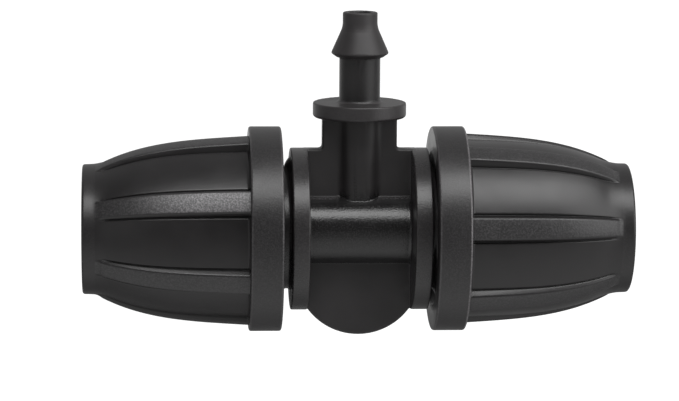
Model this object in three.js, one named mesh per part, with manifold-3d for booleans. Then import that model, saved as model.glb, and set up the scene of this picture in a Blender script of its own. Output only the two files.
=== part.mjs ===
// Reducing tee for 8/11 mm irrigation hose, with a 4/7 mm barb on its branch.
// One moulded tee body carries a thread and a ribbed hose spigot at each end of its run.
// A lock nut screws onto each thread and squeezes the hose onto the spigot.
//
// Millimetres. X runs along the hose line, Z up along the branch, Y towards the back.
// The origin is where the two axes cross.

import * as THREE from "three";
import { mergeVertices } from "three/addons/utils/BufferGeometryUtils.js";
import Module from "manifold-3d";

const wasm = await Module();
wasm.setup();

const TURN = Math.PI * 2;
const RUN_SEGMENTS = 32;
const BRANCH_SEGMENTS = 24;

// Run: the horizontal tube, its flanges and threaded stubs.
const BORE_R = 3.0;
const TUBE_R = 3.95;
const FLANGE_R = 9.15;
const FLANGE_INNER_X = 5.85;
const FLANGE_OUTER_X = 7.75;
const STUB_R = 6.75;
const STUB_END_X = 19.5;
const EDGE = 0.2;
const SLIVER = 0.01;

// Spigot: what the 8 mm hose is pushed onto.
const SPIGOT_R = 3.9;
const SPIGOT_RIDGE_R = 4.3;
const SPIGOT_LAST_RIDGE_R = 4.45;
const SPIGOT_TIP_R = 3.6;
const SPIGOT_TIP_X = 28;

// Web: the flat plate between the flanges, with a round thumb tab below and a neck above.
const WEB_THICKNESS = 2.0;
const WEB_TOP_Z = 9.0;
const WEB_ROOT_X = FLANGE_INNER_X + 0.9;
const TAB_CENTRE_Z = -4.93;
const TAB_R = 7.1;
const NECK_HALF_WIDTH = 4.2;
const NECK_TOP_Z = 12.9;
const NECK_FILLET = 0.45;

// Branch: the riser, its collar and the single barb.
const BRANCH_BORE_R = 1.25;
const RISER_R = 2.35;
const COLLAR_R = 5.25;
const COLLAR_BOTTOM_Z = 12.3;
const COLLAR_TOP_Z = 14.4;
const COLLAR_CHAMFER_Z = 0.75;
const STEM_R = 2.3;
const BARB_R = 3.2;
const BARB_LIP_Z = 19.9;
const TIP_R = 1.95;
const TIP_SHOULDER_Z = 22.9;
const TIP_Z = 24.55;

// Thread: coarse and right-handed, with 0.25 mm or more between the two halves.
const PITCH = 4.0;
const MALE_THREAD = { rootR: STUB_R, crestR: 8.0, rootHalf: 0.9, crestHalf: 0.45 };
const FEMALE_THREAD = { rootR: 8.3, crestR: 7.0, rootHalf: 1.3, crestHalf: 0.8 };
const THREAD_BURIED = 0.25;
const THREAD_TOP_X = 7.4; // where the male ridge crosses the top of the stub
const MALE_START_X = 6.9;
const MALE_END_X = 18.0;

// Lock nut, along its own axis from the mouth.
const NUT_LENGTH = 22.3;
const MOUTH_R = 11.55;
const MOUTH_BORE_R = 8.45;
const MOUTH_LENGTH = 3.65;
const MOUTH_CHAMFER = 0.4;
const NUT_SPLIT_GAP = 0.02;
const SHELL_START = MOUTH_LENGTH + NUT_SPLIT_GAP;
const RING_LENGTH = 1.5;
const RING_R = 7.35;
const HOSE_HOLE_R = 5.75;
const FUNNEL_START = 11.4;
const FUNNEL_END = 18.0;
const FEMALE_START = SHELL_START + FEMALE_THREAD.rootHalf + 0.05;
const FEMALE_END = FUNNEL_START - FEMALE_THREAD.rootHalf - 0.05;

// Grip ribs on the lock nut.
const RIB_COUNT = 7;
const RIB_HALF_ANGLE = THREE.MathUtils.degToRad(6.5);
const RIB_FLANK_ANGLE = THREE.MathUtils.degToRad(1.3);
const RIB_HEIGHT_AT_MOUTH = 1.0;
const RIB_HEIGHT_AT_RING = 0.3;
const CREST_R = 10.87;
const CREST_SLOPE = 0.06;
const CREST_CURVE = 1.168e-4;
const CREST_POWER = 3.5;

// Where each nut stands on its thread, and how far its first rib is turned up from the front.
const RIGHT_NUT = { side: "right", gap: 0.5, ribAngle: THREE.MathUtils.degToRad(9.1) };
const LEFT_NUT = { side: "left", gap: 1.05, ribAngle: THREE.MathUtils.degToRad(25.5) };

const blackPlastic = () =>
  new THREE.MeshStandardMaterial({ color: 0x1c1c1e, roughness: 0.45, metalness: 0 });

// ---------------------------------------------------------------- solids and meshes

function solidOf(geometry) {
  const bare = geometry.clone();
  bare.deleteAttribute("normal");
  bare.deleteAttribute("uv");
  const merged = mergeVertices(bare, 1e-4);
  return new wasm.Manifold(
    new wasm.Mesh({
      numProp: 3,
      vertProperties: merged.attributes.position.array,
      triVerts: new Uint32Array(merged.index.array),
    }),
  );
}

function meshOf(name, solid) {
  const raw = solid.simplify(SLIVER).getMesh();
  const geometry = new THREE.BufferGeometry();
  geometry.setAttribute("position", new THREE.BufferAttribute(raw.vertProperties, 3));
  geometry.setIndex(new THREE.BufferAttribute(raw.triVerts, 1));
  geometry.computeVertexNormals();
  const mesh = new THREE.Mesh(geometry, blackPlastic());
  mesh.name = name;
  return mesh;
}

const outline = (pairs) => pairs.map(([a, b]) => new THREE.Vector2(a, b));

// A closed profile of [x, radius] turned about the X axis.
function turnedAboutX(profile, segments) {
  const points = outline(profile.map(([x, r]) => [r, x]));
  return new THREE.LatheGeometry(points, segments).rotateZ(-Math.PI / 2);
}

// A closed profile of [radius, z] turned about the Z axis.
function turnedAboutZ(profile, segments) {
  return new THREE.LatheGeometry(outline(profile), segments).rotateX(Math.PI / 2);
}

// A closed profile swept about the X axis, where radiusAt(i, angle) is point i's radius.
// Points run up the outside from the mouth and back down the bore.
function sweptAboutX(xs, radiusAt, angles) {
  const rows = angles.length;
  const columns = xs.length;
  const positions = [];
  for (const angle of angles)
    for (let i = 0; i < columns; i++) {
      const r = radiusAt(i, angle);
      positions.push(xs[i], r * Math.cos(angle), r * Math.sin(angle));
    }
  const index = [];
  for (let row = 0; row < rows; row++)
    for (let i = 0; i < columns; i++) {
      const a = row * columns + i;
      const b = row * columns + ((i + 1) % columns);
      const c = ((row + 1) % rows) * columns + i;
      const d = ((row + 1) % rows) * columns + ((i + 1) % columns);
      index.push(a, c, b, b, c, d);
    }
  const geometry = new THREE.BufferGeometry();
  geometry.setAttribute("position", new THREE.Float32BufferAttribute(positions, 3));
  geometry.setIndex(index);
  return geometry;
}

// ---------------------------------------------------------------- thread

// A helical ridge from startX to endX, whose root is buried in the wall that carries it.
// It runs down into that wall at each end. Its steps fall halfway between the wall's edges.
function threadRidge(form, topX, startX, endX) {
  const stepAngle = TURN / RUN_SEGMENTS;
  const turnsTo = (x) => (x - topX) / PITCH + 0.25;
  const firstStep = Math.ceil(turnsTo(startX) * RUN_SEGMENTS);
  const steps = Math.floor(turnsTo(endX) * RUN_SEGMENTS) - firstStep;
  const outward = Math.sign(form.crestR - form.rootR);
  const buriedR = form.rootR - outward * THREAD_BURIED;
  const fadeSteps = 4;
  const positions = [];
  for (let step = 0; step <= steps; step++) {
    const angle = (firstStep + step + 0.5) * stepAngle;
    const x = topX + PITCH * (angle / TURN - 0.25);
    const fade = Math.min(1, step / fadeSteps, (steps - step) / fadeSteps);
    const crestR = THREE.MathUtils.lerp(buriedR + outward * 0.05, form.crestR, fade);
    const section = [
      [-form.rootHalf, buriedR],
      [form.rootHalf, buriedR],
      [form.crestHalf, crestR],
      [-form.crestHalf, crestR],
    ];
    for (const [dx, r] of section)
      positions.push(x + dx, r * Math.cos(angle), r * Math.sin(angle));
  }
  const index = [];
  const corners = 4;
  const face = (a, b, c) => (outward > 0 ? index.push(a, c, b) : index.push(a, b, c));
  for (let step = 0; step < steps; step++)
    for (let k = 0; k < corners; k++) {
      const a = step * corners + k;
      const b = step * corners + ((k + 1) % corners);
      face(a, a + corners, b);
      face(b, a + corners, b + corners);
    }
  const last = steps * corners;
  face(0, 1, 2);
  face(0, 2, 3);
  face(last, last + 2, last + 1);
  face(last, last + 3, last + 2);
  const geometry = new THREE.BufferGeometry();
  geometry.setAttribute("position", new THREE.Float32BufferAttribute(positions, 3));
  geometry.setIndex(index);
  return geometry;
}

// ---------------------------------------------------------------- tee body

// One end of the run from the middle outwards, as [x, radius].
function runProfile() {
  const ridge = (x, r) => [
    [x - 0.2, SPIGOT_R],
    [x, r],
  ];
  return [
    [FLANGE_INNER_X, TUBE_R],
    [FLANGE_INNER_X, FLANGE_R - EDGE],
    [FLANGE_INNER_X + EDGE, FLANGE_R],
    [FLANGE_OUTER_X - EDGE, FLANGE_R],
    [FLANGE_OUTER_X, FLANGE_R - EDGE],
    [FLANGE_OUTER_X, STUB_R],
    [STUB_END_X - 0.5, STUB_R],
    [STUB_END_X, STUB_R - 0.5],
    [STUB_END_X, SPIGOT_R],
    ...ridge(22, SPIGOT_RIDGE_R),
    [23.8, SPIGOT_R],
    ...ridge(24, SPIGOT_RIDGE_R),
    [25.8, SPIGOT_R],
    ...ridge(26, SPIGOT_LAST_RIDGE_R),
    [SPIGOT_TIP_X, SPIGOT_TIP_R],
  ];
}

function runSolid() {
  const coreR = BORE_R - 0.5; // the water bore is drilled wider at the end
  const right = runProfile();
  const left = right.map(([x, r]) => [-x, r]).reverse();
  const ends = [
    [SPIGOT_TIP_X, coreR],
    [-SPIGOT_TIP_X, coreR],
  ];
  const profile = [...left, ...right, ...ends];
  return solidOf(turnedAboutX([...profile, profile[0]], RUN_SEGMENTS));
}

// The flat plate in the XZ plane.
function webSolid() {
  const tabAngle = Math.acos(WEB_ROOT_X / TAB_R);
  const shape = new THREE.Shape();
  shape.moveTo(WEB_ROOT_X, WEB_TOP_Z);
  shape.lineTo(NECK_HALF_WIDTH + NECK_FILLET, WEB_TOP_Z);
  shape.absarc(
    NECK_HALF_WIDTH + NECK_FILLET,
    WEB_TOP_Z + NECK_FILLET,
    NECK_FILLET,
    -Math.PI / 2,
    -Math.PI,
    true,
  );
  shape.lineTo(NECK_HALF_WIDTH, NECK_TOP_Z);
  shape.lineTo(-NECK_HALF_WIDTH, NECK_TOP_Z);
  shape.absarc(
    -NECK_HALF_WIDTH - NECK_FILLET,
    WEB_TOP_Z + NECK_FILLET,
    NECK_FILLET,
    0,
    -Math.PI / 2,
    true,
  );
  shape.lineTo(-WEB_ROOT_X, WEB_TOP_Z);
  shape.absarc(0, TAB_CENTRE_Z, TAB_R, Math.PI + tabAngle, -tabAngle, false);
  const geometry = new THREE.ExtrudeGeometry(shape, {
    depth: WEB_THICKNESS,
    bevelEnabled: false,
    curveSegments: 12,
  });
  geometry.translate(0, 0, -WEB_THICKNESS / 2).rotateX(Math.PI / 2);
  return solidOf(geometry);
}

function branchSolid() {
  const coreR = BRANCH_BORE_R - 0.35;
  const footZ = BORE_R - 0.4;
  const profile = [
    [coreR, footZ],
    [RISER_R, footZ],
    [RISER_R, COLLAR_BOTTOM_Z],
    [NECK_HALF_WIDTH, COLLAR_BOTTOM_Z],
    [COLLAR_R, COLLAR_BOTTOM_Z + COLLAR_CHAMFER_Z],
    [COLLAR_R, COLLAR_TOP_Z - EDGE],
    [COLLAR_R - EDGE, COLLAR_TOP_Z],
    [STEM_R, COLLAR_TOP_Z],
    [STEM_R, BARB_LIP_Z - 0.45],
    [BARB_R, BARB_LIP_Z - 0.1],
    [BARB_R, BARB_LIP_Z + 0.1],
    [TIP_R + 0.3, TIP_SHOULDER_Z - 0.65],
    [TIP_R + 0.08, TIP_SHOULDER_Z],
    [TIP_R, TIP_Z - 0.2],
    [TIP_R - 0.15, TIP_Z],
    [coreR, TIP_Z],
  ];
  return solidOf(turnedAboutZ([...profile, profile[0]], BRANCH_SEGMENTS));
}

function teeBody() {
  const ridge = threadRidge(MALE_THREAD, THREAD_TOP_X, MALE_START_X, MALE_END_X);
  const rightThread = solidOf(ridge);
  const leftThread = solidOf(ridge.clone().rotateZ(Math.PI));
  const runBore = new THREE.CylinderGeometry(BORE_R, BORE_R, 70, RUN_SEGMENTS);
  const branchBore = new THREE.CylinderGeometry(BRANCH_BORE_R, BRANCH_BORE_R, 30, BRANCH_SEGMENTS);
  return runSolid()
    .add(webSolid())
    .add(branchSolid())
    .add(rightThread)
    .add(leftThread)
    .subtract(solidOf(runBore.rotateZ(Math.PI / 2)))
    .subtract(solidOf(branchBore.rotateX(Math.PI / 2).translate(0, 0, 15)));
}

// ---------------------------------------------------------------- lock nut

// Radius of the rib crests at a distance along the nut.
function crestRadius(x) {
  const u = x - MOUTH_LENGTH;
  return CREST_R - CREST_SLOPE * u - CREST_CURVE * Math.max(u, 0) ** CREST_POWER;
}

function valleyRadius(x) {
  const share = (x - MOUTH_LENGTH) / (NUT_LENGTH - RING_LENGTH - MOUTH_LENGTH);
  const height = THREE.MathUtils.lerp(RIB_HEIGHT_AT_MOUTH, RIB_HEIGHT_AT_RING, share);
  return crestRadius(x) - height;
}

function ribStations() {
  const pitchAngle = TURN / RIB_COUNT;
  const foot = RIB_HALF_ANGLE + RIB_FLANK_ANGLE;
  const valley = (pitchAngle - 2 * foot) / 3;
  const stations = [];
  for (let rib = 0; rib < RIB_COUNT; rib++) {
    const centre = rib * pitchAngle;
    stations.push(
      { angle: centre - foot, crest: false },
      { angle: centre - RIB_HALF_ANGLE, crest: true },
      { angle: centre + RIB_HALF_ANGLE, crest: true },
      { angle: centre + foot, crest: false },
      { angle: centre + foot + valley, crest: false },
      { angle: centre + foot + 2 * valley, crest: false },
    );
  }
  return stations;
}

// The bore of the shell, as a cutter round a hollow core.
function shellBore() {
  const coreR = HOSE_HOLE_R - 1.5;
  const profile = [
    [SHELL_START - 0.5, coreR],
    [SHELL_START - 0.5, FEMALE_THREAD.rootR],
    [FUNNEL_START, FEMALE_THREAD.rootR],
    [FUNNEL_END, HOSE_HOLE_R],
    [NUT_LENGTH - 0.3, HOSE_HOLE_R],
    [NUT_LENGTH + 0.2, HOSE_HOLE_R + 0.5],
    [NUT_LENGTH + 0.2, coreR],
  ];
  return solidOf(turnedAboutX([...profile, profile[0]], RUN_SEGMENTS));
}

// The ribbed shell with its funnel and internal thread, along +X from the mouth at x = 0.
function nutShell(mouthX, ribTurn) {
  const ringStart = NUT_LENGTH - RING_LENGTH;
  const coreR = HOSE_HOLE_R - 0.75;
  const ribbed = [SHELL_START, 8, 12, 15, 17.5, 19.5, ringStart];
  const plain = [
    [ringStart + 0.05, RING_R],
    [NUT_LENGTH - 0.3, RING_R - 0.05],
    [NUT_LENGTH, RING_R - 0.35],
    [NUT_LENGTH, coreR],
    [SHELL_START, coreR],
  ];
  const xs = [...ribbed, ...plain.map(([x]) => x)];
  const stations = ribStations();
  const isCrest = new Map(stations.map(({ angle, crest }) => [angle, crest]));
  const radiusAt = (i, angle) => {
    if (i >= ribbed.length) return plain[i - ribbed.length][1];
    return isCrest.get(angle) ? crestRadius(xs[i]) : valleyRadius(xs[i]);
  };
  const wall = sweptAboutX(xs, radiusAt, stations.map(({ angle }) => angle)).rotateX(ribTurn);
  // The female ridge runs midway between two turns of the male one.
  const topX = THREAD_TOP_X + PITCH / 2 - mouthX;
  const ridge = threadRidge(FEMALE_THREAD, topX, FEMALE_START, FEMALE_END);
  return solidOf(wall).subtract(shellBore()).add(solidOf(ridge));
}

// The plain round mouth of the nut, which looks the same however far it is turned.
function nutMouth() {
  const profile = [
    [0, MOUTH_R - 0.15],
    [0.15, MOUTH_R],
    [MOUTH_LENGTH - MOUTH_CHAMFER, MOUTH_R],
    [MOUTH_LENGTH, MOUTH_R - MOUTH_CHAMFER],
    [MOUTH_LENGTH, MOUTH_BORE_R],
    [0.45, MOUTH_BORE_R],
    [0, MOUTH_BORE_R + 0.45],
  ];
  return solidOf(turnedAboutX([...profile, profile[0]], RIB_COUNT * 6));
}

// A nut in place on its thread. Its group points outwards along the run.
function lockNut({ side, gap, ribAngle }) {
  const mouthX = FLANGE_OUTER_X + gap;
  const isLeft = side === "left";
  // Turning about the group's own X axis takes its +Y direction to the front and then up.
  const ribTurn = isLeft ? ribAngle : Math.PI - ribAngle;
  const nut = new THREE.Group();
  nut.add(
    meshOf(`${side}_nut_mouth_ring`, nutMouth()),
    meshOf(`${side}_nut_ribbed_shell`, nutShell(mouthX, ribTurn)),
  );
  nut.position.x = isLeft ? -mouthX : mouthX;
  nut.rotation.z = isLeft ? Math.PI : 0;
  return nut;
}

const tee = new THREE.Group();
tee.add(meshOf("tee_body", teeBody()), lockNut(LEFT_NUT), lockNut(RIGHT_NUT));

export default tee;
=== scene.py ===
"""Looks of a black plastic reducing tee for irrigation hose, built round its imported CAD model.

The tee moulding is meshed from a distance field, so its fillets and threads run into each other as
moulded ones do. The lock nuts are swept grids. Shapes are in millimetres and become metres in
mesh_piece(). X runs along the hose line, Z up along the branch, and the front faces -Y.
"""

import math

import bpy
import numpy as np
from mathutils import Matrix, Vector


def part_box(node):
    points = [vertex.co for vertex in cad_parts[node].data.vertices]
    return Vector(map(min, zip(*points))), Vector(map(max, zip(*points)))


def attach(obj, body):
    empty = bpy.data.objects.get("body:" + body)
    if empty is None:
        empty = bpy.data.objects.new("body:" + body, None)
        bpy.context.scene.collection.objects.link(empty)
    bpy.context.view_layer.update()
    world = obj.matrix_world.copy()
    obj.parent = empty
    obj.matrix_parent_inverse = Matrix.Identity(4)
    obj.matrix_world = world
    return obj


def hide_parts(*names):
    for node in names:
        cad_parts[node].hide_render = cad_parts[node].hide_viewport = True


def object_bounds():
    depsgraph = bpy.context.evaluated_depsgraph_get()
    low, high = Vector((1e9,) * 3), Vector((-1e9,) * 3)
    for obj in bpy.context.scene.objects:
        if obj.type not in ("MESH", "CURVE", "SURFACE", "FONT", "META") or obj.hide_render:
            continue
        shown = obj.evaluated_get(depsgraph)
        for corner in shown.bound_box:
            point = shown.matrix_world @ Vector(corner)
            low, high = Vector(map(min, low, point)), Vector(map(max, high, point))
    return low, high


MM = 0.001
TURN = 2 * math.pi

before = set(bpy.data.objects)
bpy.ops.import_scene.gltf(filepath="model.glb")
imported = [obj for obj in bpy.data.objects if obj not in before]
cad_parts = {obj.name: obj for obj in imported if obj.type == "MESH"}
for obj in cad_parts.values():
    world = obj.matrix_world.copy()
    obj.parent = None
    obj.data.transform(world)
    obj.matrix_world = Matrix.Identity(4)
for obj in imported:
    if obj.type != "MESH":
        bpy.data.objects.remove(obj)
cad_low, cad_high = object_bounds()


def box_mm(node):
    low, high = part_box(node)
    return np.array(low) / MM, np.array(high) / MM


# ---------------------------------------------------------------- sizes taken from the frame

TEE_LOW, TEE_HIGH = box_mm("tee_body")
SPIGOT_TIP_X = TEE_HIGH[0]
FLANGE_R = TEE_HIGH[1]
TIP_Z = TEE_HIGH[2]
TAB_BOTTOM_Z = TEE_LOW[2]

RING_LOW, RING_HIGH = box_mm("right_nut_mouth_ring")
SHELL_LOW, SHELL_HIGH = box_mm("right_nut_ribbed_shell")
RIGHT_MOUTH_X = RING_LOW[0]
LEFT_MOUTH_X = -box_mm("left_nut_mouth_ring")[1][0]
MOUTH_R = RING_HIGH[2]
MOUTH_LENGTH = RING_HIGH[0] - RING_LOW[0]
SHELL_START = SHELL_LOW[0] - RIGHT_MOUTH_X
NUT_LENGTH = SHELL_HIGH[0] - RIGHT_MOUTH_X

# ---------------------------------------------------------------- sizes of the tee moulding, in mm

BORE_R = 3.0
TUBE_R = 3.95
FLANGE_INNER_X = 5.85
FLANGE_OUTER_X = 7.75
STUB_R = 6.75
STUB_END_X = 19.5
ROOT_DEPTH = 0.5
SPIGOT_R = 3.9
SPIGOT_TIP_R = 3.6
SPIGOT_RIDGES = ((22.0, 4.3), (24.0, 4.3), (26.0, 4.45))

WEB_HALF = 1.0
WEB_TOP_Z = 9.15
TAB_R = 7.1
TAB_CENTRE_Z = TAB_BOTTOM_Z + TAB_R
NECK_HALF = 4.2
NECK_TOP_Z = 13.1

BRANCH_BORE_R = 1.25
RISER_R = 2.05
RISER_FILLET = 0.6
COLLAR_R = 5.25
COLLAR_BOTTOM_Z = 12.75
COLLAR_TOP_Z = 14.4
STEM_R = 2.3
BARB_R = 3.25
BARB_LIP_Z = 19.9
TIP_R = 1.95

PITCH = 4.0
THREAD_TOP_X = 7.4
MALE_ROOT_HALF = 0.9
MALE_CREST_R = 8.0
MALE_FLANK = 0.36
MALE_END_X = 18.0

EDGE_R = 0.16
FILLET = 0.45
SHARP_FILLET = 0.03
CELL = 0.17
KEPT_FACES = 0.45
# Eroded grain and tone of each part of the moulding's surface. The barb's and the collar's raised tones
# are painted light from the front left, and the ledge's tone is a painted highlight along the top of the
# tube.
TEE_SURFACE = {
    "plate": (0.0, 1.0),
    "rims": (0.7, 1.8),
    # Painted light: the barb is lightened as if lit from the front left.
    "barb": (0.0, 1.5),
    "stem": (0.3, 0.7),
    # Painted light: the collar is lightened as if lit from the front left.
    "collar": (0.3, 1.9),
    "riser": (0.0, 1.1),
    # A painted highlight along the top of the tube beside the web.
    "ledge": (1.0, 3.0),
    "tube": (1.0, 1.0),
}

# ---------------------------------------------------------------- sizes of a lock nut, in mm

MOUTH_BORE_R = 8.45
RING_R = 7.35
HOSE_HOLE_R = 5.75
FUNNEL_START = 11.4
FUNNEL_END = 18.0
FEMALE_ROOT_R = 8.3
FEMALE_CREST_R = 7.0
FEMALE_ROOT_HALF = 1.3
FEMALE_CREST_HALF = 0.8

RIB_COUNT = 7
RIB_START_R = 10.87
CREST_SLOPE = 0.06
CREST_CURVE = 1.168e-4
CREST_POWER = 3.5
RIB_HEIGHT_AT_MOUTH = 0.75
RIB_HEIGHT_AT_RING = 0.28
RIB_END_X = NUT_LENGTH - 1.5
RIB_FOOT_ANGLE = math.radians(8.2)
GROOVE_ANGLE = math.radians(8.7)
GROOVE_HALF_ANGLE = math.radians(0.7)
GROOVE_DEPTH = 0.17
VALLEY_SAG = 0.12
MOUTH_FILLET = 0.35
RIB_END_R = 7.6
RING_TAPER = 0.03

# Eroded grain and tone of the nut's surface.
MOUTH_GRAIN = 0.3
# Painted highlights: tones that lighten the mouth ring's rounded front and back edges, where light
# glints on them.
MOUTH_FRONT_PAINTED_HIGHLIGHT = 2.7
MOUTH_BACK_PAINTED_HIGHLIGHT = {"left": 2.0, "right": 5.5}
RIB_GRAIN = 0.6
END_RING_GRAIN = 0.15
# Tone of the scuffed rib's crest: partly scuff, partly a painted highlight.
SCUFF_AND_SHEEN_TONE = 3.0
# Painted shade: how far the tone darkens the grooves at the ribs' feet.
GROOVE_PAINTED_SHADE = 0.7

RIGHT_RIB_ANGLE = math.radians(9.1)
LEFT_RIB_ANGLE = math.radians(25.5)


# ---------------------------------------------------------------- distance fields


def join(a, b, blend=FILLET):
    """Union of two distances, with a fillet where they meet."""
    near = np.maximum(blend - np.abs(a - b), 0) / blend
    return np.minimum(a, b) - near * near * blend / 4


def common(a, b, blend=0.3):
    """Intersection of two distances, with a rounded edge where they meet."""
    return -join(-a, -b, blend)


def rounded_outline(u, v, outline):
    """Signed distance to a closed outline of (u, v) corners, with its outer corners rounded."""
    corners = np.array(outline, float)
    before = corners - np.roll(corners, 1, 0)
    after = np.roll(corners, -1, 0) - corners
    before /= np.linalg.norm(before, axis=1)[:, None]
    after /= np.linalg.norm(after, axis=1)[:, None]
    # Each corner moves inwards so that both of its sides move in by the edge radius.
    inward = np.stack([-before[:, 1] - after[:, 1], before[:, 0] + after[:, 0]], 1)
    corners = corners + inward * EDGE_R / (1 + (before * after).sum(1))[:, None]
    squared = np.full(u.shape, 1e9, np.float32)
    inside = np.zeros(u.shape, bool)
    for (u0, v0), (u1, v1) in zip(corners, np.roll(corners, -1, 0)):
        du, dv = u1 - u0, v1 - v0
        along = np.clip(((u - u0) * du + (v - v0) * dv) / (du * du + dv * dv), 0, 1)
        squared = np.minimum(squared, (u - u0 - along * du) ** 2 + (v - v0 - along * dv) ** 2)
        if dv:
            crosses = (v0 > v) != (v1 > v)
            inside ^= crosses & (u < u0 + (v - v0) * du / dv)
    return np.where(inside, -1, 1) * np.sqrt(squared) - EDGE_R


def spigot_outline():
    ridges = [((x - 0.2, SPIGOT_R), (x, r)) for x, r in SPIGOT_RIDGES]
    points = [(STUB_END_X - 1, -1)]
    points += [(SPIGOT_TIP_X, -1), (SPIGOT_TIP_X, SPIGOT_TIP_R)]
    points += [point for foot, crest in reversed(ridges) for point in (crest, foot)]
    return points + [(STUB_END_X - 1, SPIGOT_R)]


def male_thread(along, radius, angle, winding):
    """The helical ridge on a stub, fading out at its far end."""
    centre = THREAD_TOP_X + winding * PITCH * (angle / TURN - 0.25)
    offset = (along - centre + PITCH / 2) % PITCH - PITCH / 2
    fade = np.clip((MALE_END_X - (along - offset)) / 1.2, 0, 1)
    crest = STUB_R - 0.4 + (MALE_CREST_R - STUB_R + 0.4) * fade
    flank = np.abs(offset) - MALE_ROOT_HALF + MALE_FLANK * (radius - STUB_R)
    ridge = common(flank / math.hypot(1, MALE_FLANK), radius - crest, 0.35)
    # Both ends of the ridge are buried, one in the flange and one in the stub.
    return common(ridge, np.maximum(FLANGE_INNER_X + ROOT_DEPTH - along, along - MALE_END_X - 1))


def tee_distance(points):
    x, y, z = points.T
    along = np.abs(x)
    radius = np.hypot(y, z)
    angle = np.arctan2(z, -y)
    tube_end = FLANGE_INNER_X + ROOT_DEPTH
    tube = np.maximum(radius - TUBE_R, along - tube_end)
    flange = rounded_outline(
        along,
        radius,
        [
            (FLANGE_INNER_X, -1),
            (FLANGE_OUTER_X, -1),
            (FLANGE_OUTER_X, FLANGE_R),
            (FLANGE_INNER_X, FLANGE_R),
        ],
    )
    stub = rounded_outline(
        along,
        radius,
        [(tube_end, -1), (STUB_END_X, -1), (STUB_END_X, STUB_R), (tube_end, STUB_R)],
    )
    stub = join(stub, male_thread(along, radius, angle, -np.sign(x)), 0.4)
    spigot = rounded_outline(along, radius, spigot_outline())
    run = join(join(join(tube, flange), stub), spigot)

    web = np.maximum(along - tube_end, np.maximum(z - WEB_TOP_Z, TAB_CENTRE_Z - z))
    tab = np.hypot(x, z - TAB_CENTRE_Z) - TAB_R
    neck = np.maximum(along - NECK_HALF, np.maximum(z - NECK_TOP_Z, -z))
    plate = common(join(np.minimum(web, tab), neck, 0.5), np.abs(y) - WEB_HALF, 0.25)

    across = np.hypot(x, y)
    # A round whose front and back are flattened towards a square.
    riser = np.cbrt(np.abs(x) ** 3 + np.abs(y) ** 3) - RISER_R
    riser = np.maximum(riser, np.maximum(z - COLLAR_TOP_Z, -z))
    collar = rounded_outline(
        z,
        across,
        [
            (COLLAR_TOP_Z, -1),
            (COLLAR_TOP_Z, COLLAR_R),
            (COLLAR_BOTTOM_Z + 0.2, COLLAR_R),
            (COLLAR_BOTTOM_Z, COLLAR_R - 0.2),
            (COLLAR_BOTTOM_Z, -1),
        ],
    )
    stem = rounded_outline(
        z,
        across,
        [
            (COLLAR_TOP_Z - 1, -1),
            (TIP_Z, -1),
            (TIP_Z, TIP_R),
            (TIP_Z - 1.2, TIP_R),
            (TIP_Z - 1.5, TIP_R + 0.03),
            (TIP_Z - 1.8, TIP_R + 0.09),
            (TIP_Z - 2.1, TIP_R + 0.19),
            (TIP_Z - 2.4, TIP_R + 0.33),
            (BARB_LIP_Z + 0.05, BARB_R),
            (BARB_LIP_Z - 0.4, STEM_R + 0.3),
            (BARB_LIP_Z - 0.4, STEM_R),
            (COLLAR_TOP_Z - 1, STEM_R),
        ],
    )
    branch = join(collar, stem)
    upright = join(plate, riser, RISER_FILLET)
    solid = join(join(run, upright, SHARP_FILLET), branch, 0.3)
    solid = common(solid, BORE_R - radius, 0.2)
    return common(solid, np.minimum(BRANCH_BORE_R - across, z - 1), 0.2)


# ---------------------------------------------------------------- meshing a distance field


def sampled_field(distance, low, counts, cell):
    """The field on a grid. Blocks far from the surface keep the value at their centre."""
    block = 8
    blocks = -(-counts // block)
    values = np.empty(blocks * block, np.float32)
    places = np.array(list(np.ndindex(*blocks)))
    middle = distance(low + (places * block + (block - 1) / 2) * cell)
    corner = np.array(list(np.ndindex(block, block, block)))
    far = np.abs(middle) >= block * cell * 1.2
    for index, value in zip(places[far] * block, middle[far]):
        values[tuple(slice(i, i + block) for i in index)] = value
    near = places[~far] * block
    for start in range(0, len(near), 400):
        where = (near[start : start + 400, None] + corner).reshape(-1, 3)
        values[tuple(where.T)] = distance(low + where * cell)
    return values


def shifted(grid, start, stop):
    """The part of a grid from its start to its stop, which counts back from the grid's end."""
    return grid[tuple(slice(a, n + b) for a, n, b in zip(start, grid.shape, stop))]


def surface_net(distance, low, high, cell):
    """Vertices and quads on the zero surface of a distance field."""
    low = np.array(low) - 2 * cell
    counts = np.ceil((np.array(high) + 2 * cell - low) / cell).astype(int)
    values = sampled_field(distance, low, counts, cell)
    inside = values < 0
    corners = [np.array(c) for c in np.ndindex(2, 2, 2)]
    held = sum(shifted(inside, c, c - 1).astype(np.int8) for c in corners)
    cells = np.argwhere((held > 0) & (held < 8))
    total = np.zeros((len(cells), 3))
    crossings = np.zeros(len(cells))
    for a in corners:
        for axis in range(3):
            if a[axis]:
                continue
            b = a.copy()
            b[axis] = 1
            va = values[tuple((cells + a).T)]
            vb = values[tuple((cells + b).T)]
            cut = (va < 0) != (vb < 0)
            share = np.where(cut, va / np.where(cut, va - vb, 1), 0)
            total += np.where(cut[:, None], a + share[:, None] * (b - a), 0)
            crossings += cut
    vertices = low + (cells + total / crossings[:, None]) * cell
    number = np.full(held.shape, -1, np.int32)
    number[tuple(cells.T)] = np.arange(len(cells))
    quads = []
    for axis in range(3):
        u, v = (axis + 1) % 3, (axis + 2) % 3
        step = np.eye(3, dtype=int)
        first = shifted(inside, (1, 1, 1), (-1, -1, -1))
        after = shifted(inside, 1 + step[axis], step[axis] - 1)
        for edges, order in ((first & ~after, (0, 1, 2, 3)), (~first & after, (3, 2, 1, 0))):
            at = np.argwhere(edges) + 1
            ring = (at - step[u] - step[v], at - step[v], at, at - step[u])
            quads.append(np.stack([number[tuple(ring[k].T)] for k in order], 1))
    return vertices, np.concatenate(quads)


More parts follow.
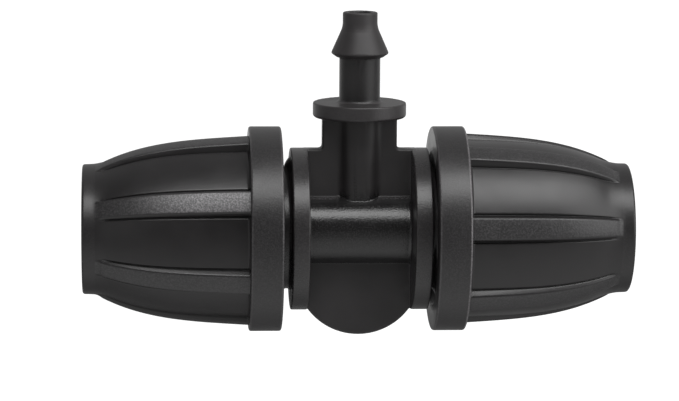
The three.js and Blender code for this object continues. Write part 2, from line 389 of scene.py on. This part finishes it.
def gradient(distance, points, step=0.01):
    offsets = np.eye(3) * step
    return np.stack([(distance(points + o) - distance(points - o)) / (2 * step) for o in offsets], 1)


def settled(distance, vertices, cell):
    """Moves each vertex onto the surface, by no more than a cell."""
    for _ in range(3):
        slope = gradient(distance, vertices)
        steps = -distance(vertices)[:, None] * slope / np.maximum((slope**2).sum(1), 0.25)[:, None]
        length = np.linalg.norm(steps, axis=1)[:, None]
        vertices = vertices + steps * np.minimum(1, 0.5 * cell / np.maximum(length, 1e-9))
    return vertices


# ---------------------------------------------------------------- pieces


def mesh_piece(name, vertices, faces, material, body, node):
    mesh = bpy.data.meshes.new(name)
    mesh.from_pydata((np.asarray(vertices) * MM).tolist(), [], np.asarray(faces).tolist())
    mesh.validate()
    mesh.shade_smooth()
    mesh.materials.append(material)
    piece = bpy.data.objects.new(name, mesh)
    bpy.context.scene.collection.objects.link(piece)
    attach(piece, body)
    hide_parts(node)
    return piece


def set_surface(piece, grain, tone):
    """Eroded grain of each vertex, from 0 for none to 1, and its tone, which scales the colour and in
    places holds painted highlights and painted shade.
    """
    for name, amounts in (("grain", grain), ("tone", tone)):
        attribute = piece.data.attributes.new(name, "FLOAT", "POINT")
        attribute.data.foreach_set("value", np.ravel(amounts).astype(np.float32))


def thin_out(piece, share):
    """Collapses the faces that a flat or gently curved stretch doesn't need."""
    modifier = piece.modifiers.new("thin", "DECIMATE")
    modifier.ratio = share
    graph = bpy.context.evaluated_depsgraph_get()
    thinned = bpy.data.meshes.new_from_object(piece.evaluated_get(graph), depsgraph=graph)
    piece.modifiers.remove(modifier)
    piece.data = thinned
    thinned.shade_smooth()


def tee_moulding(material):
    low, high = TEE_LOW - 0.2, TEE_HIGH + 0.2
    vertices, quads = surface_net(tee_distance, low, high, CELL)
    vertices = settled(tee_distance, vertices, CELL)
    piece = mesh_piece("tee_moulding", vertices, quads, material, "tee", "tee_body")
    thin_out(piece, KEPT_FACES)
    points = np.empty(len(piece.data.vertices) * 3, np.float32)
    piece.data.vertices.foreach_get("co", points)
    points = points.reshape(-1, 3) / MM
    normals = gradient(tee_distance, points, 0.05)
    normals /= np.linalg.norm(normals, axis=1)[:, None]
    z = points[:, 2]
    regions = {
        "plate": (np.abs(points[:, 1]) < WEB_HALF + 0.15) & (np.abs(normals[:, 1]) > 0.9),
        "rims": np.abs(points[:, 0]) > FLANGE_INNER_X - 0.05,
        "barb": z > BARB_LIP_Z - 0.5,
        "stem": z > COLLAR_TOP_Z + 0.2,
        "collar": z > COLLAR_BOTTOM_Z - 0.35,
        "riser": z > TUBE_R + 0.1,
        # The top of the tube beside the web, whose tone is a painted highlight.
        "ledge": (z > TUBE_R - 0.35) & (np.abs(points[:, 0]) > RISER_R + 0.2),
        "tube": np.full(len(z), True),
    }
    surface = [TEE_SURFACE[region] for region in regions]
    found = list(regions.values())
    set_surface(piece, *(np.select(found, amounts) for amounts in zip(*surface)))
    piece.data.normals_split_custom_set_from_vertices(normals.tolist())
    return piece


def swept_grid(rows):
    """Vertices and quads of a closed tube of rows, each an array of (x, y, z) round the axis."""
    grid = np.stack(rows)
    count, around = grid.shape[:2]
    i, j = np.meshgrid(np.arange(count), np.arange(around), indexing="ij")
    row, next_row = i * around, (i + 1) % count * around
    next_j = (j + 1) % around
    quads = np.stack([row + j, next_row + j, next_row + next_j, row + next_j], -1)
    return grid.reshape(-1, 3), quads.reshape(-1, 4)


def arc(centre, radius, start, end, steps=6):
    """Points (along, radial) on an arc, with its angles in degrees from the axis direction."""
    angles = np.radians(np.linspace(start, end, steps))
    return [(centre[0] + radius * math.cos(a), centre[1] + radius * math.sin(a)) for a in angles]


def placed(along, radius, angles, side):
    """Points of one row of a nut, whose own axis starts at its mouth."""
    mouth = RIGHT_MOUTH_X if side == "right" else LEFT_MOUTH_X
    x = np.broadcast_to(mouth + along, angles.shape) * (1 if side == "right" else -1)
    return np.stack([x, -radius * np.cos(angles), radius * np.sin(angles)], -1)


def wound_alike(quads, side):
    """Gives both nuts one face order, though the left one is mirrored. Their faces wind inwards."""
    return quads if side == "left" else quads[:, ::-1]


def nut_mouth(side, material):
    """The round ring at the nut's mouth."""
    crown = 0.25
    front_edge = arc((crown, MOUTH_R - crown), crown, 180, 90, 8)
    profile = list(front_edge)
    profile += [(along, MOUTH_R) for along in (0.3, 0.5, MOUTH_LENGTH - 0.5, MOUTH_LENGTH - 0.3)]
    back_edge = arc((MOUTH_LENGTH - crown, MOUTH_R - crown), crown, 90, 0, 8)
    profile += back_edge
    profile += [(MOUTH_LENGTH, 10.4), (MOUTH_LENGTH, MOUTH_BORE_R)]
    profile += [(0.2, MOUTH_BORE_R), (0.06, MOUTH_BORE_R + 0.14), (0, MOUTH_BORE_R + 0.3)]
    angles = np.linspace(0, TURN, 224, endpoint=False)
    rows = [placed(along, radius, angles, side) for along, radius in profile]
    vertices, quads = swept_grid(rows)
    name = f"{side}_nut_mouth"
    quads = wound_alike(quads, side)
    node = f"{side}_nut_mouth_ring"
    piece = mesh_piece(name, vertices, quads, material, f"{side}_mouth", node)
    tone = np.ones((len(profile), len(angles)))
    # Painted highlights on the ring's rounded front and back edges.
    tone[[profile.index(point) for point in front_edge[3:7]]] = MOUTH_FRONT_PAINTED_HIGHLIGHT
    tone[[profile.index(point) for point in back_edge[1:5]]] = MOUTH_BACK_PAINTED_HIGHLIGHT[side]
    set_surface(piece, np.full(tone.shape, MOUTH_GRAIN), tone)
    return piece


def rib_section():
    """Angles across one rib and its valley, and how much of the rib's height each has."""
    degree = math.radians(1)
    half = [(0, 1.0), (2.6, 1.0), (5.3, 1.0), (5.79, 0.981), (6.19, 0.934), (6.52, 0.868), (6.79, 0.783)]
    half += [(6.97, 0.7), (7.3, 0.515), (7.7, 0.29), (8.0, 0.12), (8.2, 0.03), (8.4, 0.0)]
    half += [(angle, 0.0) for angle in (8.65, 8.95, 9.3, 9.8, 10.5, 12.5, 14.5, 17, 19.5, 22.5)]
    right = [(angle * degree, share) for angle, share in half]
    left = [(-angle, share) for angle, share in reversed(right[1:])]
    return left + right + [(TURN / RIB_COUNT / 2, 0.0)]


def groove_share(angle, half_width):
    """From 1 in the groove at a rib's foot to 0 outside it, at an angle from the rib's centre."""
    return np.maximum(0, 1 - ((np.abs(angle) - GROOVE_ANGLE) / half_width) ** 2)


def valley_depth(angle):
    """How far a valley lies under the round it starts from."""
    across = (TURN / RIB_COUNT / 2 - np.abs(angle)) / (TURN / RIB_COUNT / 2 - RIB_FOOT_ANGLE)
    groove = groove_share(angle, GROOVE_HALF_ANGLE)
    return VALLEY_SAG * np.maximum(0, 1 - across**2) + GROOVE_DEPTH * groove


def crest_radius(along):
    beyond = np.maximum(along - MOUTH_LENGTH, 0)
    return RIB_START_R - CREST_SLOPE * beyond - CREST_CURVE * beyond**CREST_POWER


def smooth_step(value):
    value = np.clip(value, 0, 1)
    return value * value * (3 - 2 * value)


def outer_radius(along, share, depth):
    """Radius of the ribbed outside at a distance from the mouth."""
    progress = (along - MOUTH_LENGTH) / (RIB_END_X - MOUTH_LENGTH)
    height = RIB_HEIGHT_AT_MOUTH + (RIB_HEIGHT_AT_RING - RIB_HEIGHT_AT_MOUTH) * progress
    crest = crest_radius(along)
    valley = crest - height
    corner = np.maximum(0, 1 - (along - SHELL_START) / MOUTH_FILLET)
    valley = valley + MOUTH_FILLET * corner**2.5
    proud = np.maximum(crest, RIB_END_R)
    crest = valley + (proud - valley) * smooth_step((RIB_END_X + 0.1 - along) / 0.9)
    ribbed = valley + (crest - valley) * share - depth * smooth_step((RIB_END_X - along) / 2)
    ring = RING_R - RING_TAPER * np.maximum(along - RIB_END_X, 0)
    return -join(-ribbed, -np.full_like(ribbed, ring), 0.5)


def bore_radius(along, angles, side):
    """Radius of the bore, with the helical ridge that runs in the male thread."""
    wall = np.interp(along, (FUNNEL_START, FUNNEL_END), (FEMALE_ROOT_R, HOSE_HOLE_R))
    winding = -1 if side == "right" else 1
    mouth = RIGHT_MOUTH_X if side == "right" else LEFT_MOUTH_X
    centre = THREAD_TOP_X + PITCH / 2 - mouth + winding * PITCH * (angles / TURN - 0.25)
    offset = (along - centre + PITCH / 2) % PITCH - PITCH / 2
    start = SHELL_START + FEMALE_ROOT_HALF
    end = FUNNEL_START - FEMALE_ROOT_HALF
    at = along - offset
    fade = smooth_step((at - start) / 0.8) * smooth_step((end - at) / 0.8)
    ridge = smooth_step((FEMALE_ROOT_HALF - np.abs(offset)) / (FEMALE_ROOT_HALF - FEMALE_CREST_HALF))
    return wall - (FEMALE_ROOT_R - FEMALE_CREST_R) * ridge * fade


def nut_grip(side, material):
    """The ribbed shell, with its funnel and thread inside."""
    first_rib = RIGHT_RIB_ANGLE if side == "right" else LEFT_RIB_ANGLE
    section = rib_section()
    ribs = [first_rib + rib * TURN / RIB_COUNT for rib in range(RIB_COUNT)]
    angles = np.array([rib + angle for rib in ribs for angle, _ in section])
    shares = np.array([share for _ in ribs for _, share in section])
    from_rib = np.array([angle for _ in ribs for angle, _ in section])
    depths = valley_depth(from_rib)
    outside = np.concatenate(
        [
            SHELL_START + np.array([0, 0.03, 0.07, 0.13, 0.2, 0.28, 0.4, 0.7]),
            np.linspace(SHELL_START + 1.2, RIB_END_X - 1.5, 40),
            np.linspace(RIB_END_X - 1.35, RIB_END_X + 0.3, 26),
            np.linspace(RIB_END_X + 0.5, NUT_LENGTH - 0.3, 4),
        ]
    )
    rows = [placed(along, outer_radius(along, shares, depths), angles, side) for along in outside]
    lip_r = RING_R - RING_TAPER * (NUT_LENGTH - 0.3 - RIB_END_X)
    lip = arc((NUT_LENGTH - 0.3, lip_r - 0.3), 0.3, 75, 0, 6)
    lip += arc((NUT_LENGTH - 0.25, HOSE_HOLE_R + 0.25), 0.25, 0, -90, 6)
    rows += [placed(along, radius, angles, side) for along, radius in lip]
    inside = np.concatenate(
        [
            np.linspace(NUT_LENGTH - 0.6, FUNNEL_END, 4),
            np.linspace(FUNNEL_END - 0.5, FUNNEL_START, 10),
            np.linspace(FUNNEL_START - 0.1, SHELL_START, 64),
        ]
    )
    rows += [placed(along, bore_radius(along, angles, side), angles, side) for along in inside]
    vertices, quads = swept_grid(rows)
    name = f"{side}_nut_grip"
    quads = wound_alike(quads, side)
    node = f"{side}_nut_ribbed_shell"
    piece = mesh_piece(name, vertices, quads, material, f"{side}_grip", node)
    crests = np.zeros((len(rows), len(angles)))
    crests[: len(outside)] = smooth_step((shares - 0.9) / 0.1)
    # The left nut's first rib is scuffed, most of all where the barrel is wide, and there its lighter
    # tone is partly a painted highlight on the crest.
    scuff_and_sheen = np.zeros_like(crests)
    if side == "left":
        wide = smooth_step((0.9 * RIB_END_X - outside) / (0.45 * RIB_END_X))
        scuff_and_sheen[: len(outside), : len(section)] = wide[:, None]
    grain = crests * (RIB_GRAIN + (1 - RIB_GRAIN) * scuff_and_sheen)
    grain[: len(outside)][outside > RIB_END_X] = END_RING_GRAIN
    tone = 1 + (SCUFF_AND_SHEEN_TONE - 1) * scuff_and_sheen * crests
    # Painted shade: the colour darkens in the grooves at the ribs' feet, where shade falls, and fades
    # out before the end ring.
    groove_shade = smooth_step((RIB_END_X - outside) / 3)[:, None]
    groove_shade = groove_shade * groove_share(from_rib, 1.5 * GROOVE_HALF_ANGLE)
    tone[: len(outside)] -= GROOVE_PAINTED_SHADE * groove_shade
    set_surface(piece, grain, tone)
    return piece


# ---------------------------------------------------------------- materials


def black_plastic(name, smooth_colour, grain_colour, smooth_rough, grain_rough, grain_mm, bump_mm):
    """Moulded black plastic, from satin to eroded as the piece's grain attribute rises."""
    material = bpy.data.materials.new(name)
    material.use_nodes = True
    nodes, links = material.node_tree.nodes, material.node_tree.links
    shader = nodes["Principled BSDF"]
    shader.inputs["IOR"].default_value = 1.49
    place = nodes.new("ShaderNodeTexCoord").outputs["Object"]

    def attribute(attribute_name):
        node = nodes.new("ShaderNodeAttribute")
        node.attribute_name = attribute_name
        return node.outputs["Fac"]

    def noise(size_mm, detail):
        node = nodes.new("ShaderNodeTexNoise")
        node.inputs["Scale"].default_value = 1 / (size_mm * MM)
        node.inputs["Detail"].default_value = detail
        links.new(place, node.inputs["Vector"])
        return node.outputs["Fac"]

    def remap(source, low, high, to_low, to_high):
        node = nodes.new("ShaderNodeMapRange")
        node.inputs["From Min"].default_value = low
        node.inputs["From Max"].default_value = high
        node.inputs["To Min"].default_value = to_low
        node.inputs["To Max"].default_value = to_high
        links.new(source, node.inputs["Value"])
        return node.outputs["Result"]

    def math_node(operation, a, b):
        node = nodes.new("ShaderNodeMath")
        node.operation = operation
        for socket, value in zip(node.inputs, (a, b)):
            if isinstance(value, (int, float)):
                socket.default_value = value
            else:
                links.new(value, socket)
        return node.outputs["Value"]

    def blended(factor, a, b):
        node = nodes.new("ShaderNodeMix")
        node.data_type = "RGBA"
        for socket, value in zip(("A", "B"), (a, b)):
            if isinstance(value, tuple):
                node.inputs[socket].default_value = (*value, 1)
            else:
                links.new(value, node.inputs[socket])
        links.new(factor, node.inputs["Factor"])
        return node.outputs["Result"]

    def around(factor, colour, low, high):
        return blended(factor, tuple(c * low for c in colour), tuple(c * high for c in colour))

    grained = attribute("grain")
    cloud = noise(5.0, 3)
    grain = noise(grain_mm, 2)
    specked = around(remap(grain, 0.42, 0.66, 0, 1), grain_colour, 0.65, 1.7)
    clouded = around(remap(cloud, 0.35, 0.65, 0, 1), smooth_colour, 0.8, 1.2)
    toned = nodes.new("ShaderNodeVectorMath")
    toned.operation = "SCALE"
    links.new(blended(grained, clouded, specked), toned.inputs["Vector"])
    # The tone scales the colour; in places it holds painted highlights and painted shade.
    links.new(attribute("tone"), toned.inputs["Scale"])
    links.new(toned.outputs["Vector"], shader.inputs["Base Color"])

    base = remap(grained, 0, 1, smooth_rough, grain_rough)
    coarse = remap(cloud, 0.3, 0.7, -0.04, 0.04)
    uneven = math_node("ADD", coarse, remap(grain, 0.3, 0.7, -0.02, 0.02))
    links.new(math_node("ADD", base, uneven), shader.inputs["Roughness"])

    waves = nodes.new("ShaderNodeBump")
    waves.inputs["Distance"].default_value = 0.04 * MM
    waves.inputs["Strength"].default_value = 0.3
    links.new(noise(2.2, 1), waves.inputs["Height"])
    bump = nodes.new("ShaderNodeBump")
    bump.inputs["Distance"].default_value = bump_mm * MM
    links.new(remap(grained, 0, 1, 0.06, 1.0), bump.inputs["Strength"])
    links.new(grain, bump.inputs["Height"])
    links.new(waves.outputs["Normal"], bump.inputs["Normal"])
    links.new(bump.outputs["Normal"], shader.inputs["Normal"])
    return material


def stage_material():
    """Studio paper that shows white, and lights the object most from just below and behind it."""
    material = bpy.data.materials.new("studio_paper")
    material.use_nodes = True
    nodes, links = material.node_tree.nodes, material.node_tree.links
    shader = nodes["Principled BSDF"]
    shader.inputs["Roughness"].default_value = 0.9
    shader.inputs["Emission Color"].default_value = (1, 1, 1, 1)
    fibre = nodes.new("ShaderNodeTexNoise")
    fibre.inputs["Scale"].default_value = 900
    ramp = nodes.new("ShaderNodeValToRGB")
    ramp.color_ramp.elements[0].color = (0.1, 0.1, 0.1, 1)
    ramp.color_ramp.elements[1].color = (0.14, 0.14, 0.14, 1)
    links.new(fibre.outputs["Fac"], ramp.inputs["Fac"])
    links.new(ramp.outputs["Color"], shader.inputs["Base Color"])

    place = nodes.new("ShaderNodeTexCoord")
    split = nodes.new("ShaderNodeSeparateXYZ")
    links.new(place.outputs["Object"], split.inputs["Vector"])
    depth = nodes.new("ShaderNodeMapRange")
    depth.inputs["From Min"].default_value = -FLOOR_GLOW_REACH
    depth.inputs["From Max"].default_value = FLOOR_GLOW_REACH
    links.new(split.outputs["Y"], depth.inputs["Value"])
    glow = nodes.new("ShaderNodeValToRGB")
    stops = glow.color_ramp.elements
    while len(stops) < len(FLOOR_GLOW):
        stops.new(0.5)
    for stop, (y, strength) in zip(stops, FLOOR_GLOW):
        stop.position = 0.5 + y / FLOOR_GLOW_REACH / 2
        stop.color = (strength, strength, strength, 1)
    links.new(depth.outputs["Result"], glow.inputs["Fac"])
    seen = nodes.new("ShaderNodeLightPath")
    mix = nodes.new("ShaderNodeMix")
    mix.data_type = "FLOAT"
    mix.inputs["B"].default_value = 1.0
    links.new(seen.outputs["Is Camera Ray"], mix.inputs["Factor"])
    links.new(glow.outputs["Color"], mix.inputs["A"])
    links.new(mix.outputs["Result"], shader.inputs["Emission Strength"])
    return material


# ---------------------------------------------------------------- stage, lights and camera

FLOOR_BELOW = 0.028
FLOOR_HALF = 6.0
FLOOR_GLOW_REACH = 0.3
# Brightness of the paper along Y: lit in front of the object, and in its shadow just behind.
FLOOR_GLOW = (
    (-0.2, 0.15),
    (-0.12, 0.22),
    (-0.045, 0.65),
    (-0.014, 0.74),
    (-0.002, 0.3),
    (0.01, 0.1),
    (0.2, 0.12),
    (0.25, 0.5),
    (0.3, 0.9),
)


def floor():
    z = cad_low.z - FLOOR_BELOW
    corners = [(-FLOOR_HALF, -FLOOR_HALF, z), (FLOOR_HALF, -FLOOR_HALF, z)]
    corners += [(FLOOR_HALF, FLOOR_HALF, z), (-FLOOR_HALF, FLOOR_HALF, z)]
    mesh = bpy.data.meshes.new("floor")
    mesh.from_pydata(corners, [], [(0, 1, 2, 3)])
    mesh.materials.append(stage_material())
    piece = bpy.data.objects.new("floor", mesh)
    bpy.context.scene.collection.objects.link(piece)


def softbox(name, azimuth, elevation, distance, size, power):
    """An area light round the object. Azimuth 0 is the front and 90 the right."""
    a, e = math.radians(azimuth), math.radians(elevation)
    away = Vector((math.sin(a) * math.cos(e), -math.cos(a) * math.cos(e), math.sin(e)))
    light = bpy.data.lights.new(name, "AREA")
    light.shape = "RECTANGLE"
    light.size, light.size_y = size
    light.energy = power
    lamp = bpy.data.objects.new(name, light)
    lamp.location = away * distance
    lamp.rotation_mode = "QUATERNION"
    lamp.rotation_quaternion = away.to_track_quat("Z", "Y")
    bpy.context.scene.collection.objects.link(lamp)


def studio():
    """White room behind the object, dimmer towards the camera, as a product table has."""
    world = bpy.data.worlds.new("studio")
    bpy.context.scene.world = world
    world.use_nodes = True
    nodes, links = world.node_tree.nodes, world.node_tree.links
    background = nodes["Background"]
    direction = nodes.new("ShaderNodeTexCoord")
    split = nodes.new("ShaderNodeSeparateXYZ")
    links.new(direction.outputs["Generated"], split.inputs["Vector"])
    ramp = nodes.new("ShaderNodeMapRange")
    ramp.interpolation_type = "SMOOTHSTEP"
    ramp.inputs["From Min"].default_value = -0.5
    ramp.inputs["From Max"].default_value = 0.6
    ramp.inputs["To Min"].default_value = 0.12
    ramp.inputs["To Max"].default_value = 0.45
    links.new(split.outputs["Y"], ramp.inputs["Value"])
    seen = nodes.new("ShaderNodeLightPath")
    mix = nodes.new("ShaderNodeMix")
    mix.data_type = "FLOAT"
    mix.inputs["B"].default_value = 1.05
    links.new(seen.outputs["Is Camera Ray"], mix.inputs["Factor"])
    links.new(ramp.outputs["Result"], mix.inputs["A"])
    links.new(mix.outputs["Result"], background.inputs["Strength"])
    background.inputs["Color"].default_value = (1, 1, 1, 1)
    softbox("key", 20, 58.5, 0.8, (0.95, 0.36), 6.7)
    softbox("side", 58, 18, 0.8, (0.65, 0.6), 3.0)
    softbox("fill", -45, 0, 0.8, (0.5, 0.5), 0.4)


def camera():
    position = Vector((-0.02293, -0.34672, 0.05914))
    yaw, pitch, roll = (math.radians(angle) for angle in (3.427, -9.15, 0.43))
    data = bpy.data.cameras.new("camera")
    data.sensor_width = 36
    data.lens = 165.25
    data.clip_start, data.clip_end = 0.01, 50
    view = bpy.data.objects.new("camera", data)
    level_x, level_y = math.sin(yaw), math.cos(yaw)
    forward = Vector((level_x * math.cos(pitch), level_y * math.cos(pitch), math.sin(pitch)))
    view.rotation_mode = "QUATERNION"
    level = forward.to_track_quat("-Z", "Y")
    view.rotation_quaternion = level @ Matrix.Rotation(roll, 3, "Z").to_quaternion()
    view.location = position
    bpy.context.scene.collection.objects.link(view)
    bpy.context.scene.camera = view


body_plastic = black_plastic(
    "black_body_plastic",
    smooth_colour=(0.0144, 0.0129, 0.0134),
    grain_colour=(0.0098, 0.0093, 0.0096),
    smooth_rough=0.5,
    grain_rough=0.22,
    grain_mm=0.17,
    bump_mm=0.02,
)
nut_plastic = black_plastic(
    "black_nut_plastic",
    smooth_colour=(0.0088, 0.0078, 0.0083),
    grain_colour=(0.034, 0.033, 0.034),
    smooth_rough=0.36,
    grain_rough=0.38,
    grain_mm=0.18,
    bump_mm=0.03,
)
tee_moulding(body_plastic)
for nut_side in ("left", "right"):
    nut_mouth(nut_side, nut_plastic)
    nut_grip(nut_side, nut_plastic)

floor()
studio()
camera()
bpy.context.scene.view_settings.view_transform = "Standard"
